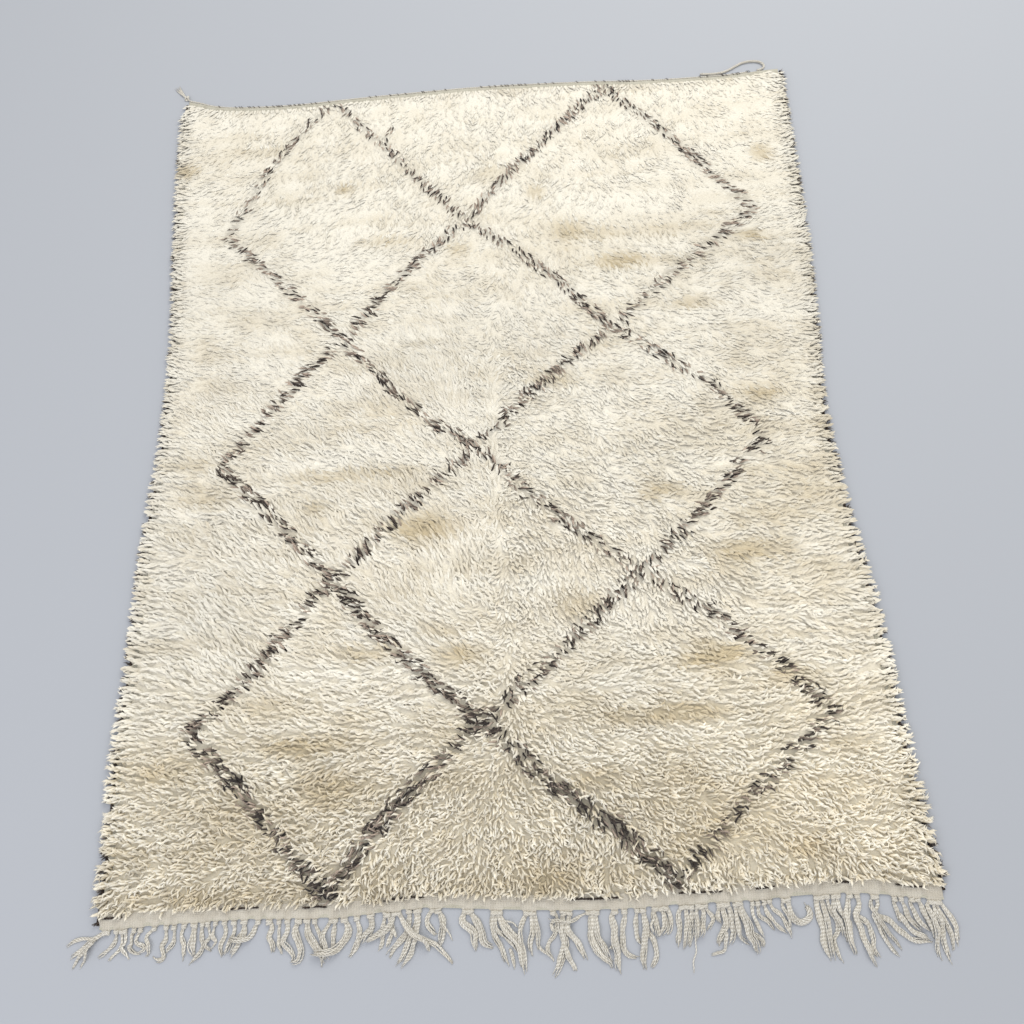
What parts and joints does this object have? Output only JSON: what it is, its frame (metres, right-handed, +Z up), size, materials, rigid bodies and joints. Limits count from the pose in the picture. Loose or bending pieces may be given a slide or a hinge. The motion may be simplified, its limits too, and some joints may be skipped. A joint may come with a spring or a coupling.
{
  "type": "beni mrirt rug",
  "caption": "Thick hand-knotted cream wool rug with a dark diamond lattice, a knotted warp fringe at one end and a corded plain end.",
  "frame": {"origin": "on the underside, at the middle of the rug's width and length without its fringe", "axes": "+Z up through the pile; +Y along the rug to the plain end with the starting cord; +X to the right, seen from the fringed end"},
  "size_m": [1.6627, 2.1955, 0.028],
  "materials": {
    "knotted_pile": "long cream wool pile, matt, with a dark brown lattice dyed into the knots",
    "goat_hair": "overcast dark goat hair, faintly glossy",
    "warp_wool": "plied cream wool yarn, matt"
  },
  "bodies": {
    "root": {"woven_field": "knotted_pile", "selvedge_left": "goat_hair", "selvedge_right": "goat_hair", "heading_cord": "warp_wool", "corner_tie": "warp_wool", "corner_cord": "warp_wool", "warp_fringe": "warp_wool"}
  },
  "joints": []
}
